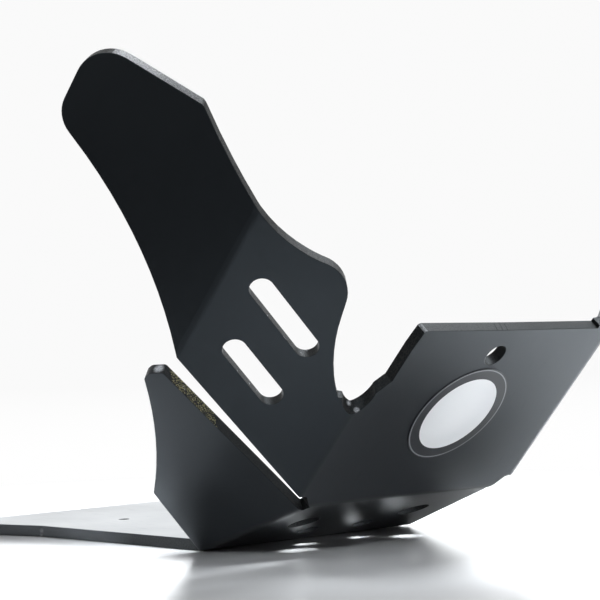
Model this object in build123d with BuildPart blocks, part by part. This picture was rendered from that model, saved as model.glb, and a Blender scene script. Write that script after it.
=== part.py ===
"""Motorcycle skid plate: one sheet of black polyethylene, cut flat and folded hot.

Millimetres. X points forwards, Y to the rider's left, Z up. The belly lies on z = 0, and the
origin is under the middle of the plate. Every panel is drawn on its outer face, as (along the
fold, out from the fold), and its thickness goes inwards.
"""
import os
from math import atan2, cos, degrees, radians, tan

from build123d import *

# Sheet
sheet = 6.0
tight_bend = 8.0        # outer radius of the folds around the front panel
wide_bend = 12.0        # outer radius of the fold between wing and wing tip
nose_bend = 40.0        # outer radius between belly and nose ramp

# Belly, nose ramp and front panel, measured between the sharp corners of the outer faces
fold_x = 28.4           # belly to ramp fold, forward of the origin
belly_length = 208.0
belly_half = 77.0
belly_flare_start = 141.0
belly_flare_half = 95.0
ramp_length = 76.0
ramp_angle = 20.0
ramp_half_rear = 78.0
ramp_half_front = 69.0
front_height = 116.0
front_angle = 48.0
front_half = 80.0
top_sag = 1.2           # the top edge falls by this to the middle
top_fall = 1.9          # and by this to its left end
shoulder_y = 69.0       # the top edge steps up to the left wing here
shoulder_rise = 0.9
ear_y = 63.4            # the top edge ends here on the right
ear_round = 2.0

# Wings, wing tips and side flaps
wing_angle = 31.0
wing_width = 91.0
wing_root = (9.0, 2.8)  # along, out
wing_top = 136.4        # the wing's level top edge
wing_level = 52.4       # and how far out it stays level
tip_angle = 20.0
tip_width = 100.1
tip_low = 61.5          # where the tip's edges meet its fold, along the fold
tip_high = 150.0
tip_bow = (105.3, 42.0)             # the lower edge bows through here
tip_heel = (135.5, 89.4)
tip_toe = 140.8
tip_crown = 183.3
crest_dip = (143.5, -11.3)          # the upper edge, measured out from the tip's fold
crest_rise = (164.2, 20.8)
crest_end = (182.1, 43.2)
flap_angle = 40.0
flap_heel = (-1.7, 0.0)
flap_knee = (10.0, 47.0)
flap_bow = (42.0, 77.0)
flap_tip = (68.0, 110.6)
flap_top = (72.5, 111.5)
flap_corner = (79.0, 108.3)
flap_root = (69.6, -6.0)

# Holes and slots
slot_width = 11.8
slot_tilt = 32.0
upper_slot = (101.5, 54.1, 51.6)    # along, out, overall length
lower_slot = (67.7, 54.2, 44.0)
notch_hole = 17.0
notch_lean = 32.0       # the hole leans up the panel by this angle
notch_v = 73.0          # height of the notch's round bottom on the front panel
notch_waist = (84.0, 64.9)          # the notch's edge on the front panel
notch_neck = (104.3, 64.5)
notch_start = (70.0, 10.2)          # and on the wing
notch_bow = (90.0, 22.6)
notch_side = (113.5, 30.1)
notch_corner = 34.8
notch_round = 19.0
slit_hole = 8.0
slit_place = (3.5, 77.5)
front_hole = 13.0
front_hole_drop = 18.0  # below the top edge
belly_hole = 6.4
belly_hole_x = 130.0
belly_hole_y = 26.0
rear_notch = 5.0
small_drain = (21.3, 20.5, 11.5)    # along the ramp, sideways, diameter
large_drain = (41.0, 41.5, 17.5)

# Label
label_diameter = 61.5
label_thickness = 0.4
label_drop = 57.5       # below the top edge


def setback(radius, angle):
    """Distance from the sharp corner of a fold to where its bend begins."""
    return radius * tan(radians(angle / 2))


def fold(panel, at, turn):
    """The plane of the next panel: step across the last one, then turn about the fold."""
    return Plane(panel.location * Pos(*at) * Rot(*turn))


front_turn = front_angle - ramp_angle
belly = Plane(origin=(fold_x, 0, 0))
ramp = fold(belly, (0, 0, 0), (0, -ramp_angle, 0))
front = fold(ramp, (ramp_length, 0, 0), (0, -front_turn, 0))
wing = fold(front, (0, front_half, 0), (wing_angle, 0, 0))
tip = fold(wing, (0, wing_width, 0), (tip_angle, 0, 0))
crest = fold(wing, (0, wing_width, 0), (tip_angle / 2, 0, 0))
flap_skew = -degrees(atan2(ramp_half_rear - ramp_half_front, ramp_length))
ramp_side = fold(ramp, (0, ramp_half_rear, 0), (0, 0, flap_skew))
flap = fold(ramp_side, (0, 0, 0), (flap_angle, 0, 0))

# Section planes look along each fold: first sideways, then into the sheet.
spine_section = Plane(belly.origin, x_dir=(1, 0, 0), z_dir=(0, -1, 0))
wing_section = Plane(front.origin, x_dir=front.y_dir, z_dir=front.x_dir)
flap_section = Plane(ramp_side.origin, x_dir=ramp_side.y_dir, z_dir=ramp_side.x_dir)

nose_set = setback(nose_bend, ramp_angle)
brow_set = setback(tight_bend, front_turn)
wing_set = setback(tight_bend, wing_angle)
tip_set = setback(wide_bend, tip_angle)
flap_set = setback(tight_bend, flap_angle)
shoulder = front_height + shoulder_rise

# Spine: belly, ramp and front panel bent from one strip, then cut to its outline
with BuildPart() as spine_outline:
    with BuildSketch(belly):
        with BuildLine():
            Polyline(
                (-belly_length, 0),
                (-belly_length, belly_flare_half),
                (-belly_flare_start, belly_half),
                (-nose_set, belly_half),
                (0, ramp_half_rear - flap_set),
                (ramp_length * cos(radians(ramp_angle)), ramp_half_front - flap_set),
                (ramp_length, 0),
                close=True,
            )
        make_face()
    extrude(amount=2 * ramp_length, both=True)
    with BuildSketch(front):
        with BuildLine():
            Polyline(
                (-brow_set, 0),
                (-brow_set, ramp_half_front - flap_set),
                (0, ramp_half_front),
                (10.5, front_half - wing_set),
                (shoulder, front_half - wing_set),
                (shoulder, shoulder_y + 3.5),
                (front_height, shoulder_y),
                (front_height, 0),
                close=True,
            )
        make_face()
    extrude(amount=2 * sheet, both=True)

with BuildPart() as spine:
    with BuildSketch(spine_section):
        with BuildLine():
            b = Line((-belly_length, 0), (-nose_set, 0))
            n = JernArc(b @ 1, b % 1, nose_bend, ramp_angle)
            r = PolarLine(n @ 1, ramp_length - nose_set - brow_set, direction=n % 1)
            f = JernArc(r @ 1, r % 1, tight_bend, front_turn)
            PolarLine(f @ 1, shoulder, direction=f % 1)
            offset(amount=sheet, side=Side.LEFT)
        make_face()
    extrude(amount=-belly_flare_half)
    add(spine_outline.part, mode=Mode.INTERSECT)

# Wing and wing tip: bent along the front panel's side, then cut to their outlines
with BuildPart() as wing_outline:
    with BuildSketch(wing):
        with BuildLine():
            Polyline(
                (wing_root[0] - 4, -4),
                wing_root,
                (tip_low, wing_width),
                (tip_crown, wing_width),
                (tip_crown, wing_level - 3),
                (wing_top, wing_level - 3),
                (wing_top, wing_level - 6),
                (shoulder, 0),
                (shoulder, -4),
                close=True,
            )
        make_face()
    extrude(amount=2 * sheet, both=True)
    with BuildSketch(tip) as tip_shape:
        with BuildLine():
            low = ThreePointArc((tip_low, 0), tip_bow, tip_heel)
            Polyline(low @ 1, (tip_toe, tip_width), (tip_crown, tip_width), (tip_crown - 3, 0), low @ 0)
        make_face()
        fillet(tip_shape.vertices().sort_by_distance((tip_toe, tip_width))[0], 15.5)
        fillet(tip_shape.vertices().sort_by_distance((tip_crown, tip_width))[0], 17)
    extrude(amount=2 * sheet, both=True)

# What lies above the crest, one edge that runs from the wing across the fold and up the tip
with BuildPart() as above_crest:
    with BuildSketch(crest) as crest_shape:
        with BuildLine():
            level = Line((wing_top, -wing_width / 2), (wing_top, wing_level - wing_width + 0.6))
            dip = ThreePointArc(level @ 1, crest_dip, (tip_high, 0))
            rise = ThreePointArc(dip @ 1, crest_rise, crest_end)
            Polyline(
                rise @ 1,
                (tip_crown + 2, 1.2 * tip_width),
                (tip_crown + wing_width, 1.2 * tip_width),
                (tip_crown + wing_width, -wing_width / 2),
                level @ 0,
            )
        make_face()
        fillet(crest_shape.vertices().sort_by_distance(crest_end)[0], 9)
    extrude(amount=wing_width / 2, both=True)

with BuildPart() as left_wing:
    with BuildSketch(wing_section):
        with BuildLine():
            a = Line((front_half / 2, 0), (front_half - wing_set, 0))
            w = JernArc(a @ 1, a % 1, tight_bend, wing_angle)
            p = PolarLine(w @ 1, wing_width - wing_set - tip_set, direction=w % 1)
            u = JernArc(p @ 1, p % 1, wide_bend, tip_angle)
            PolarLine(u @ 1, tip_width, direction=u % 1)
            offset(amount=sheet, side=Side.LEFT)
        make_face()
    extrude(amount=2 * front_height)
    add(wing_outline.part, mode=Mode.INTERSECT)
    add(above_crest.part, mode=Mode.SUBTRACT)
    with BuildSketch(wing):
        for along, out, length in (upper_slot, lower_slot):
            with Locations((along, out)):
                SlotOverall(length, slot_width, rotation=90 - slot_tilt)
    extrude(amount=2 * sheet, both=True, mode=Mode.SUBTRACT)

# Side flap: bent up along the ramp's side
with BuildPart() as flap_outline:
    with BuildSketch(flap) as flap_shape:
        with BuildLine():
            Polyline((flap_heel[0], flap_root[1]), flap_heel, flap_knee)
            ThreePointArc(flap_knee, flap_bow, flap_tip)
            Polyline(flap_tip, flap_top, flap_corner, flap_root, (flap_heel[0], flap_root[1]))
        make_face()
        for corner, radius in ((flap_knee, 4), (flap_tip, 4), (flap_top, 4), (flap_corner, 1.5)):
            fillet(flap_shape.vertices().sort_by_distance(corner)[0], radius)
    extrude(amount=2 * sheet, both=True)

with BuildPart() as left_flap:
    with BuildSketch(flap_section):
        with BuildLine():
            c = Line((-3 * sheet, 0), (-flap_set, 0))
            s = JernArc(c @ 1, c % 1, tight_bend, flap_angle)
            PolarLine(s @ 1, 2 * ramp_length, direction=s % 1)
            offset(amount=sheet, side=Side.LEFT)
        make_face()
    extrude(amount=2 * ramp_length, both=True)
    add(flap_outline.part, mode=Mode.INTERSECT)
    with BuildSketch(spine_section):
        with BuildLine():
            g = Line((-ramp_length, 0), (-nose_set, 0))
            k = JernArc(g @ 1, g % 1, nose_bend, ramp_angle)
            PolarLine(k @ 1, ramp_length, direction=k % 1)
            offset(amount=sheet, side=Side.RIGHT)
        make_face()
    extrude(amount=-2 * ramp_length, mode=Mode.SUBTRACT)

# Notch of the right side, drawn on the left: a V cut across the fold, from a round hole upwards
ear_cut = ear_round * (1 - cos(radians(45)))
with BuildPart() as notch:
    with BuildSketch(front):
        with BuildLine():
            ear = ThreePointArc(
                (front_height - ear_round, ear_y),
                (front_height - ear_cut, ear_y - ear_cut),
                (front_height, ear_y - ear_round),
            )
            Polyline(
                ear @ 1,
                (2 * front_height, ear_y - ear_round),
                (2 * front_height, front_half),
                (notch_v, front_half),
                (notch_v - 2, front_half - 4),
                notch_waist,
                notch_neck,
                ear @ 0,
            )
        make_face()
    extrude(amount=2 * sheet, both=True)
    with BuildSketch(wing) as notch_shape:
        with BuildLine():
            edge = ThreePointArc(notch_start, notch_bow, notch_side)
            Polyline(
                edge @ 1,
                (wing_top, notch_corner),
                (wing_top, wing_level - 2),
                (2 * wing_top, wing_level - 2),
                (2 * wing_top, -4),
                (notch_v, -4),
                edge @ 0,
            )
        make_face()
        fillet(notch_shape.vertices().sort_by_distance((wing_top, notch_corner))[0], notch_round)
    extrude(amount=2 * sheet, both=True)
    with BuildSketch(fold(front, (notch_v, front_half, 0), (wing_angle / 2, notch_lean, 0))):
        Circle(notch_hole / 2)
    extrude(amount=2 * sheet, both=True)

with BuildPart() as skid_plate:
    add(spine.part)
    add(left_wing.part)
    add(left_flap.part)
    with BuildSketch(fold(front, (*slit_place, 0), (0, front_turn / 2, 0))):
        Circle(slit_hole / 2)
    extrude(amount=2 * sheet, both=True, mode=Mode.SUBTRACT)
    with BuildSketch(ramp):
        for along, side, size in (small_drain, large_drain):
            with Locations((along, side)):
                Circle(size / 2)
    extrude(amount=2 * sheet, both=True, mode=Mode.SUBTRACT)
    with BuildSketch(belly):
        with Locations((-belly_hole_x, belly_hole_y)):
            Circle(belly_hole / 2)
        with Locations((-belly_length, 0)):
            Circle(rear_notch / 2)
    extrude(amount=2 * sheet, both=True, mode=Mode.SUBTRACT)
    with BuildSketch(front):
        with Locations((front_height - front_hole_drop, 0)):
            Circle(front_hole / 2)
    extrude(amount=2 * sheet, both=True, mode=Mode.SUBTRACT)
    mirror(about=Plane.XZ)
    with BuildSketch(front):
        with BuildLine():
            Polyline(
                (front_height, -ear_y),
                (front_height - top_sag, 0),
                (front_height - top_fall, shoulder_y),
                (2 * front_height, shoulder_y),
                (2 * front_height, -ear_y),
                close=True,
            )
        make_face()
    extrude(amount=2 * sheet, both=True, mode=Mode.SUBTRACT)
    mirror(notch.part, about=Plane.XZ, mode=Mode.SUBTRACT)

with BuildPart() as round_label:
    with BuildSketch(front):
        with Locations((front_height - label_drop, 0)):
            Circle(label_diameter / 2)
    extrude(amount=-label_thickness)

os.makedirs("parts", exist_ok=True)
skid_plate.part.label = "skid_plate"
export_step(skid_plate.part, "parts/skid_plate.step")
round_label.part.label = "round_label"
export_step(round_label.part, "parts/round_label.step")
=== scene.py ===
# %% [markdown]
# # A folded skid plate, dressed for its portrait
#
# The real object is one sheet of black polyethylene, cut flat on a router and folded hot, with a
# round vinyl label stuck on its front panel. Its solids come from the CAD model, already folded and
# drilled, so this lesson is about surfaces and light: how a satin black plastic shows its form
# almost only by what it reflects.

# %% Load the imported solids
from math import atan2, cos, degrees, radians, sin

import bpy
from mathutils import Matrix, Vector


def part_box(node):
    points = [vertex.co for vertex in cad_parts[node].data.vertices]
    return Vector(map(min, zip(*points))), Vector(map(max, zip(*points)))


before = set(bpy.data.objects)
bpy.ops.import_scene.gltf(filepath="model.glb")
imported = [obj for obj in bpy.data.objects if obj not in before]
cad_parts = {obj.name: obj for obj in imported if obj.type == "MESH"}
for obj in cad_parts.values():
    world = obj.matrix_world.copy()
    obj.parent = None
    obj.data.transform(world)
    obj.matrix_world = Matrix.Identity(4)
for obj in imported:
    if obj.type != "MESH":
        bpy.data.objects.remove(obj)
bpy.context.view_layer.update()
plate = bpy.data.objects["skid_plate"]
label = bpy.data.objects["round_label"]
bpy.ops.object.select_all(action="DESELECT")
print("solids:", plate.name, label.name)

# %% [markdown]
# ## Writing a material as sums
#
# A material is a small machine of nodes. Wiring it by hand takes ten lines for one formula, so one
# class wraps a socket and lets Python's own operators add the Math nodes: `1 - mask` adds a
# Subtract. A second class holds the material, or the world, and adds every other kind of node in
# one call: first its settings, then the values or wires of its sockets. The kinds that come back
# often, such as a noise or a fade, get a method of their own.

# %% A wire that can be added, multiplied and compared
class Wire:
    """An output socket, with operators that put Math nodes behind it."""

    def __init__(self, finish, socket):
        self.finish = finish
        self.socket = socket

    def math(self, operation, *values):
        return self.finish.add("Math", {"operation": operation}, dict(enumerate(values)))

    def __add__(self, other):
        return self.math("ADD", self, other)

    def __sub__(self, other):
        return self.math("SUBTRACT", self, other)

    def __rsub__(self, other):
        return self.math("SUBTRACT", other, self)

    def __mul__(self, other):
        return self.math("MULTIPLY", self, other)

    def __lt__(self, other):
        return self.math("LESS_THAN", self, other)

    def __gt__(self, other):
        return self.math("GREATER_THAN", self, other)

    def __abs__(self):
        return self.math("ABSOLUTE", self)

    def sign(self):
        return self.math("SIGN", self)

    def highest(self, other):
        return self.math("MAXIMUM", self, other)

    def within(self, low, high):
        return (self > low) * (self < high)

    __radd__ = __add__
    __rmul__ = __mul__


print("wire ready: + - * < > and abs() add Math nodes")


# %% A material, or a world, under construction
class Finish:
    """The nodes of one material or world."""

    def __init__(self, owner):
        owner.use_nodes = True
        self.owner = owner
        self.tree = owner.node_tree
        self.tree.nodes.clear()

    def add(self, kind, settings=None, sockets=None, output=0):
        node = self.tree.nodes.new("ShaderNode" + kind)
        for name, value in (settings or {}).items():
            setattr(node, name, value)
        for name, value in (sockets or {}).items():
            if isinstance(value, Wire):
                self.tree.links.new(value.socket, node.inputs[name])
            else:
                node.inputs[name].default_value = value
        return Wire(self, node.outputs[output]) if node.outputs else None

    def place(self):
        return self.add("TexCoord", output="Object")

    def normal(self):
        return self.add("NewGeometry", output="True Normal")

    def split(self, vector):
        outputs = self.add("SeparateXYZ", None, {0: vector}).socket.node.outputs
        return [Wire(self, socket) for socket in outputs]

    def measure(self, operation, first, second):
        return self.add("VectorMath", {"operation": operation}, {0: first, 1: second}, "Value")

    def dot(self, vector, direction):
        return self.measure("DOT_PRODUCT", vector, direction)

    def distance(self, place, centre):
        return self.measure("DISTANCE", place, centre)

    def mix(self, factor, low, high):
        # A Mix node has one set of sockets per data type; 6, 7 and output 2 are the colours.
        return self.add("Mix", {"data_type": "RGBA"}, {0: factor, 6: low, 7: high}, output=2)

    def fade(self, value, start, end, low=0.0, high=1.0, curve="LINEAR"):
        sockets = {0: value, 1: start, 2: end, 3: low, 4: high}
        return self.add("MapRange", {"interpolation_type": curve}, sockets)

    def noise(self, place, scale, detail, between=None):
        cloud = self.add("TexNoise", None, {"Vector": place, "Scale": scale, "Detail": detail})
        if between is None:
            return cloud
        ramp = self.add("ValToRGB", None, {0: cloud})
        for stop, position in zip(ramp.socket.node.color_ramp.elements, between):
            stop.position = position
        return ramp

    def rays(self, *names):
        outputs = self.add("LightPath").socket.node.outputs
        wires = [Wire(self, outputs["Is " + name + " Ray"]) for name in names]
        either = wires[0]
        for wire in wires[1:]:
            either = either.highest(wire)
        return either

    def show(self, surface, kind="OutputMaterial"):
        self.add(kind, None, {0: surface})
        return self.owner


print("finish ready: one call adds one node")

# %% [markdown]
# ## Where the sheet was cut
#
# On the real plate the broad faces are smooth from the mould rolls, and every cut edge is rough
# from the router. Painting each edge by hand would be endless. But a folded sheet gives itself
# away: its broad faces only ever turn about its few fold lines. So a face is broad when its normal
# is square to a fold line and within that fold's angle, and all the rest is a cut. The three kinds
# of fold are the spine across the plate, the wings' folds beside the front panel, and the side
# flaps' folds beside the ramp.

# %% The fold lines, from the sizes of the sheet
RAMP = radians(20.0)
FRONT = radians(48.0)
WING_AND_TIP = radians(31.0 + 20.0)
FLAP = radians(40.0)
FLAP_SKEW = atan2(9.0, 76.0)

leftward = Vector((0.0, 1.0, 0.0))
front_rise = Vector((cos(FRONT), 0.0, sin(FRONT)))
front_face = Vector((sin(FRONT), 0.0, -cos(FRONT)))
ramp_rise = Vector((cos(RAMP), 0.0, sin(RAMP)))
ramp_face = Vector((sin(RAMP), 0.0, -cos(RAMP)))
flap_line = ramp_rise * cos(FLAP_SKEW) - leftward * sin(FLAP_SKEW)
flap_out = ramp_rise * sin(FLAP_SKEW) + leftward * cos(FLAP_SKEW)
print("front panel rises along", [round(v, 3) for v in front_rise])

# %% A mask that is 1 on the cut edges
SQUARE = 0.06
SLACK = 0.02


def cut_mask(finish):
    """One on a cut edge or the wall of a hole, nought on the broad faces and the bends."""
    nx, ny, nz = finish.split(finish.normal())
    side = finish.split(finish.place())[1].sign()
    mirrored = finish.add("CombineXYZ", None, {0: nx, 1: ny * side, 2: nz})

    def folded(line, face, out, angle):
        facing = finish.dot(mirrored, face)
        leaning = finish.dot(mirrored, out)
        along = abs(finish.dot(mirrored, line)) < SQUARE
        return along * (abs(facing) > cos(angle) - SLACK) * (facing * leaning > -SLACK)

    spine = (abs(ny) < SQUARE) * (nx * nz < SLACK) * (abs(nx) < sin(FRONT) + SLACK)
    wings = folded(front_rise, front_face, leftward, WING_AND_TIP)
    flaps = folded(flap_line, ramp_face, flap_out, FLAP)
    return 1 - spine.highest(wings).highest(flaps)


print("flap folds run", round(degrees(FLAP_SKEW), 2), "degrees askew")

# %% [markdown]
# ## Dust with a painted highlight, chips and scuffs on the cut edges
#
# The router leaves a dull black edge that shines less than the broad faces and keeps what falls on
# it. Edges that face up carry pale dust and a painted highlight, the light from above put into
# their colour, most of it high on the right wing tip. The side flaps keep olive chips, and the
# belly's edges are scuffed towards the rear. An image could hold all of this, but an edge 6 mm wide
# needs good placing more than many pixels, so each mark is a mask: where the point is, and which
# way it faces.
# All places are in metres.

# %% Masks for dust with a painted highlight, chips and scuffs
DUST_AND_HIGHLIGHT_LEAN = (0.88, 0.98)
DUST_AND_HIGHLIGHT_HEIGHT = (0.135, 0.235)
DUST_AND_HIGHLIGHT_SIDE = (-0.10, 0.02)
DUST_AND_HIGHLIGHT_LOW, DUST_AND_HIGHLIGHT_LEFT = 0.20, 0.12
UPPER_EDGES = 0.10
CHIPS_ACROSS = (0.1195, 0.1455)
CHIPS_ABOVE, CHIPS_BEHIND = 0.06, 0.095
SCUFF_HEIGHT = (0.014, 0.006)
SCUFF_LENGTH = (-0.03, -0.08)
SCUFF_FRONT = 0.1


# Dust together with a painted highlight: pale on edges that face up, more so high up and on the
# right.
def dust_and_highlight(finish, place):
    _, y, z = finish.split(place)
    upward = finish.fade(finish.dot(finish.normal(), front_rise), *DUST_AND_HIGHLIGHT_LEAN)
    height = finish.fade(z, *DUST_AND_HIGHLIGHT_HEIGHT, low=DUST_AND_HIGHLIGHT_LOW)
    side = finish.fade(y, *DUST_AND_HIGHLIGHT_SIDE, low=1.0, high=DUST_AND_HIGHLIGHT_LEFT)
    return upward * height * side * (z > UPPER_EDGES)


def chips(finish, place):
    x, y, z = finish.split(place)
    flap_end = abs(y).within(*CHIPS_ACROSS) * (z > CHIPS_ABOVE) * (x < CHIPS_BEHIND)
    return finish.noise(place, 1500.0, 2.0, between=(0.52, 0.60)) * flap_end


def scuffs(finish, place):
    x, _, z = finish.split(place)
    return finish.fade(z, *SCUFF_HEIGHT) * finish.fade(x, *SCUFF_LENGTH, low=SCUFF_FRONT)


print("dust above", UPPER_EDGES, "m, scuffs below", SCUFF_HEIGHT[0], "m")

# %% [markdown]
# ## Painted glints and cutter marks
#
# Noise puts small painted glints into the slots and along the wings: pale specks where a cut edge
# would catch the light. Other marks have one place only. A few painted glints sit where a rounded
# bit of edge would catch the light, a painted highlight runs in one line along the front panel's
# top edge where it turns down into the notch, and the cutter has left three slanted marks in that
# edge. A
# glint spot is a ball: the distance from its centre fades it out. A cutter mark is a thin slice
# across the edge, leaning as the cutter leaned.

# %% Masks for painted glints and cutter marks
# Where the noise of painted glints may show on the wings.
GLINTS_ACROSS = (0.075, 0.145)
GLINTS_ABOVE = 0.085
# A painted highlight line on the corner where the front panel's top edge turns down into the notch.
TURN_ACROSS, TURN_HALF, TURN_ABOVE = -0.0624, 0.0008, 0.105
GLINT_CORE = 0.4
# Painted glints: the centre and reach of each bright spot where a rounded bit of cut edge catches
# the light.
GLINT_SPOTS = (
    (Vector((0.1426, -0.0762, 0.0750)), 0.0018),
    (Vector((0.1405, -0.0792, 0.0786)), 0.0016),
    (Vector((0.0838, -0.1503, 0.0977)), 0.0030),
    (Vector((-0.1128, -0.0771, 0.0030)), 0.0019),
    (Vector((-0.1132, -0.0771, 0.0006)), 0.0015),
)
FRONT_LEVEL = 0.05679
CUTTER_MARKS = (-0.0108, -0.0066, -0.0030)
MARK_HALF, MARK_LEAN = 0.00045, 0.35


def painted_glints(finish, place):
    _, y, z = finish.split(place)
    in_wings = abs(y).within(*GLINTS_ACROSS) * (z > GLINTS_ABOVE)
    # The painted highlight line at the turn.
    turn = (abs(y - TURN_ACROSS) < TURN_HALF) * (z > TURN_ABOVE)
    # Painted glints from noise, and the painted highlight line at the turn.
    glint = (finish.noise(place, 330.0, 1.0, between=(0.70, 0.73)) * in_wings).highest(turn)
    # A round painted glint at each listed spot.
    for centre, reach in GLINT_SPOTS:
        glint_spot = finish.fade(finish.distance(place, centre), reach, reach * GLINT_CORE)
        glint = glint.highest(glint_spot)
    return glint


def cutter_marks(finish, place):
    _, y, z = finish.split(place)
    depth = FRONT_LEVEL - finish.dot(place, front_face)
    across = y - depth * MARK_LEAN
    first, second, third = [abs(across - start) < MARK_HALF for start in CUTTER_MARKS]
    return first.highest(second).highest(third) * (z > UPPER_EDGES)


# The spots counted here are painted glints.
print(len(GLINT_SPOTS), "burrs,", len(CUTTER_MARKS), "cutter marks")

# %% [markdown]
# ## The colour of a cut edge
#
# Each mask now lays its own colour over the one before. The dust with its painted highlight and the
# painted glints are broken up by the same fine specks that the router leaves, so that they look
# like part of the edge.

# %% The colours, one over the other
CUT_DARK = (0.004, 0.0044, 0.0050, 1.0)
CUT_GREY = (0.022, 0.022, 0.021, 1.0)
# Pale grey of dust and of the painted highlight on edges that face up.
DUST_AND_HIGHLIGHT = (0.52, 0.53, 0.54, 1.0)
OLIVE = (0.26, 0.24, 0.12, 1.0)
SCUFF = (0.175, 0.187, 0.20, 1.0)
# Colour of the painted glints and the painted highlight line.
PAINTED_GLINT = (0.42, 0.43, 0.45, 1.0)


def cut_colour(finish, place, speck):
    """Black with grey specks; dust and a painted highlight on top, olive chips on the flaps, scuffs
    below, painted glints.
    """
    broken = 0.45 + speck * 0.55
    colour = finish.mix(speck, CUT_DARK, CUT_GREY)
    # Dust and painted highlight on the edges that face up.
    colour = finish.mix(dust_and_highlight(finish, place) * broken, colour, DUST_AND_HIGHLIGHT)
    colour = finish.mix(chips(finish, place), colour, OLIVE)
    colour = finish.mix(scuffs(finish, place), colour, SCUFF)
    # Painted glints and the painted highlight line.
    colour = finish.mix(painted_glints(finish, place) * broken, colour, PAINTED_GLINT)
    return finish.mix(cutter_marks(finish, place), colour, CUT_DARK)


print("cut edges run from", CUT_DARK[:3], "to", DUST_AND_HIGHLIGHT[:3])

# %% [markdown]
# ## Black polyethylene
#
# The sheet is nearly black, so its colour hardly matters, and its gloss is everything. Rolled
# polyethylene is satin: reflections are there but blurred, and the blur changes a little from place
# to place. A fine grain goes into the bump, a slow drift and a few faint rubs go into the
# roughness. A real edge is never quite sharp, so a Bevel node turns the normals close to each
# corner, which then catches a thin line of light while the solid keeps its shape. The cut mask
# chooses between the rolled faces and the routed edges.

# %% The sheet's finish
BROAD = (0.0060, 0.0069, 0.0085, 1.0)
SHEEN = (0.79, 0.905, 1.0, 1.0)
ROLLED_IOR, ROUTED_IOR = 1.52, 1.21
CORNER = 0.0006
BUMP_DEPTH = 0.0004
RUB_STRETCH = (60.0, 420.0, 60.0)


def black_sheet():
    finish = Finish(bpy.data.materials.new("black polyethylene"))
    place = finish.place()
    corner = finish.add("Bevel", {"samples": 6}, {"Radius": CORNER})

    def plastic(colour, roughness, ior, height, strength):
        bump = finish.add("Bump", None, {
            "Strength": strength, "Distance": BUMP_DEPTH, "Height": height, "Normal": corner})
        return finish.add("BsdfPrincipled", None, {
            "Base Color": colour, "Roughness": roughness, "IOR": ior,
            "Specular Tint": SHEEN, "Normal": bump})

    grain = finish.noise(place, 900.0, 2.0)
    drift = finish.noise(place, 14.0, 3.0)
    stretched = finish.add("Mapping", None, {"Vector": place, "Scale": RUB_STRETCH})
    rubs = finish.noise(stretched, 1.0, 4.0, between=(0.60, 0.78))
    satin = 0.27 + drift * 0.10 + rubs * 0.05
    rolled = plastic(BROAD, satin, ROLLED_IOR, grain, 0.05)

    speck = finish.noise(place, 1400.0, 3.0, between=(0.42, 0.66))
    dull = 0.42 + speck * 0.20
    routed = plastic(cut_colour(finish, place, speck), dull, ROUTED_IOR, speck, 0.20)
    return finish.show(finish.add("MixShader", None, {0: cut_mask(finish), 1: rolled, 2: routed}))


plate.data.materials.clear()
plate.data.materials.append(black_sheet())
print("sheet:", len(plate.data.materials[0].node_tree.nodes), "nodes")

# %% [markdown]
# ## The label
#
# A round vinyl sticker: a black rim with a thin grey line just inside its border, and a light disc
# in the middle, which stays plain. Rings could be drawn in the label's own plane, after a Mapping
# node has turned it level. But the label is thin and flat, so the distance from its centre is
# enough to pick the ring.

# %% The label's finish
LINE_RADIUS = 0.02975
LINE_HALF = 0.00032
DISC_RADIUS = 0.0238
RIM_BLACK = (0.016, 0.018, 0.022, 1.0)
LINE_GREY = (0.26, 0.27, 0.28, 1.0)
DISC_WHITE = (0.87, 0.875, 0.88, 1.0)
VINYL_IOR = 1.55

low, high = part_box("round_label")
label_centre = (Vector(low) + Vector(high)) / 2


def vinyl_label():
    finish = Finish(bpy.data.materials.new("printed vinyl"))
    place = finish.place()
    radius = finish.distance(place, label_centre)
    line = abs(radius - LINE_RADIUS) < LINE_HALF
    rim = finish.mix(line, RIM_BLACK, LINE_GREY)
    colour = finish.mix(radius < DISC_RADIUS, rim, DISC_WHITE)
    gloss = 0.29 + finish.noise(place, 60.0, 2.0) * 0.06
    return finish.show(finish.add("BsdfPrincipled", None, {
        "Base Color": colour, "Roughness": gloss, "IOR": VINYL_IOR}))


label.data.materials.clear()
label.data.materials.append(vinyl_label())
print("label centre", [round(v, 4) for v in label_centre])

# %% [markdown]
# ## The floor
#
# The plate lies on a sheet of white acrylic. Acrylic is two things at once: a white that scatters
# light, and a clear gloss over it. Seen from this low, the gloss takes over and mirrors the plate.
# Plain roughness and a plain index of refraction give both. Away from the plate the floor pales
# into the white room, but only where the camera or a reflection looks at it, so it keeps the
# plate's shadow and adds no light of its own.

# %% White acrylic floor
ROOM_WHITE = 0.955
FLOOR_WHITE = (0.80, 0.80, 0.81, 1.0)
FLOOR_IOR = 1.40
FLOOR_SIZE, FLOOR_DROP = 8.0, 0.0002
PALE_SEEN = (0.22, 0.48)
PALE_MIRRORED = (0.55, 0.90)
GLOW_FADES = (0.8, 3.0)

bpy.ops.mesh.primitive_plane_add(size=FLOOR_SIZE, location=(0.0, 0.0, -FLOOR_DROP))
floor = bpy.context.object
floor.name = "floor"


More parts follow.
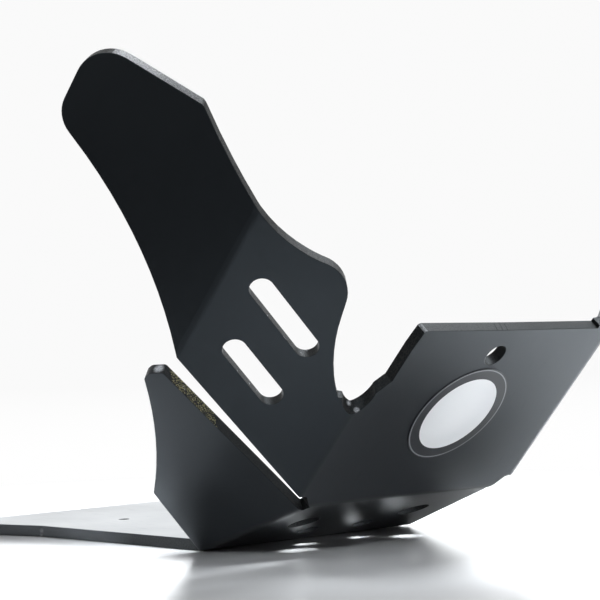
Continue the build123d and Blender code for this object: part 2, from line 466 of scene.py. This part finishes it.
def white_acrylic():
    finish = Finish(bpy.data.materials.new("white acrylic"))
    place = finish.place()
    haze = finish.noise(place, 9.0, 2.0)
    acrylic = finish.add("BsdfPrincipled", None, {
        "Base Color": FLOOR_WHITE, "Roughness": 0.18 + haze * 0.04, "IOR": FLOOR_IOR})

    away = finish.distance(place, Vector((0.0, 0.0, 0.0)))
    seen = finish.rays("Camera") * finish.fade(away, *PALE_SEEN, curve="SMOOTHSTEP")
    mirrored = finish.rays("Glossy", "Transmission")
    mirrored = mirrored * finish.fade(away, *PALE_MIRRORED, curve="SMOOTHSTEP")
    glow = finish.fade(away, *GLOW_FADES, low=1.0, high=ROOM_WHITE)
    white = finish.add("Emission", None, {"Color": glow})
    paling = seen.highest(mirrored)
    return finish.show(finish.add("MixShader", None, {0: paling, 1: acrylic, 2: white}))


floor.data.materials.append(white_acrylic())
print("floor", tuple(floor.dimensions))

# %% [markdown]
# ## The light
#
# A black plate shows what it mirrors, and its outer faces lean forward and look down at the floor.
# So most of these lamps don't light the plate: each lights the stretch of floor that one panel
# looks at. The top box does it for the bright end of the front panel, smaller boxes for the side
# flap, the wing and the ramp, and the drain box sends light down through the ramp's holes. The
# strip behind gives the belly its pale sheen, and two small spots help the rim of the wing tip and
# the label.

# %% Soft boxes
COOL_WHITE = (0.93, 0.97, 1.0)


def soft_box(name, place, aim, size, power, spread):
    lamp = bpy.data.lights.new(name, "AREA")
    lamp.shape = "RECTANGLE"
    lamp.size, lamp.size_y = size
    lamp.energy = power
    lamp.spread = radians(spread)
    lamp.color = COOL_WHITE
    holder = bpy.data.objects.new(name, lamp)
    bpy.context.scene.collection.objects.link(holder)
    holder.location = place
    holder.rotation_euler = (Vector(aim) - Vector(place)).to_track_quat("-Z", "Y").to_euler()
    return holder


soft_box("top box", (0.10, 0.24, 0.52), (0.12, 0.18, 0.0), (0.26, 0.26), 2.1, 74.0)
soft_box("drain box", (0.06, -0.03, 0.60), (0.06, -0.01, 0.0), (0.12, 0.12), 0.05, 16.0)
soft_box("side box", (-0.08, -0.24, 0.60), (0.01, -0.17, 0.0), (0.16, 0.16), 0.056, 19.0)
soft_box("front spot", (0.42, -0.36, 0.70), (0.165, -0.165, 0.0), (0.12, 0.12), 0.040, 22.0)
soft_box("rim spot", (0.36, -0.36, 0.76), (0.105, -0.19, 0.236), (0.05, 0.05), 0.035, 9.0)
soft_box("low front", (0.50, -0.36, 0.42), (0.115, -0.06, 0.0), (0.14, 0.14), 0.032, 18.0)
soft_box("label spot", (0.95, -0.05, 0.30), (0.142, 0.0, 0.071), (0.04, 0.04), 0.0042, 5.0)
strip = soft_box("back strip", (-1.10, 1.06, 0.28), (0.0, 0.0, 0.10), (3.6, 0.56), 11.5, 180.0)
strip.visible_camera = False
print("lamps:", [light.name for light in bpy.data.lights])

# %% [markdown]
# ## The room
#
# The room is the world's colour: white where the camera or a reflection looks at it, and much
# weaker where it only fills in the shadows. One grey that is chosen by the kind of ray does both.

# %% White room
ROOM_FILL = 0.13
room = Finish(bpy.data.worlds.new("white room"))
seen = room.rays("Camera", "Glossy", "Transmission")
level = room.fade(seen, 0.0, 1.0, low=ROOM_FILL, high=ROOM_WHITE)
background = room.add("Background", None, {"Color": level})
bpy.context.scene.world = room.show(background, "OutputWorld")
bpy.context.scene.view_settings.view_transform = "Standard"
print("room white", ROOM_WHITE, "fill", ROOM_FILL)

# %% [markdown]
# ## The camera
#
# The photograph was taken from low in front of the plate's right side, with a long lens. Its place
# and turn were fitted to the corners of the folds, so they are written as they were found.

# %% Camera
SENSOR = 36.0
IMAGE_WIDTH = 600
FOCAL_PIXELS = 2086.5
eye = Vector((0.85449, -0.78899, 0.11810))
yaw, pitch, roll = radians(43.563), radians(0.609), radians(-1.548)
look = Vector((-cos(yaw) * cos(pitch), sin(yaw) * cos(pitch), sin(pitch)))
level_right = Vector((sin(yaw), cos(yaw), 0.0))
level_up = level_right.cross(look)
right = level_right * cos(roll) + level_up * sin(roll)
up = level_up * cos(roll) - level_right * sin(roll)

camera_data = bpy.data.cameras.new("camera")
camera_data.sensor_width = SENSOR
camera_data.lens = FOCAL_PIXELS / IMAGE_WIDTH * SENSOR
camera_data.clip_start = 0.01
camera = bpy.data.objects.new("camera", camera_data)
bpy.context.scene.collection.objects.link(camera)
camera.matrix_world = Matrix.Translation(eye) @ Matrix((right, up, -look)).transposed().to_4x4()
bpy.context.scene.camera = camera
print("lens", round(camera_data.lens, 2), "mm")
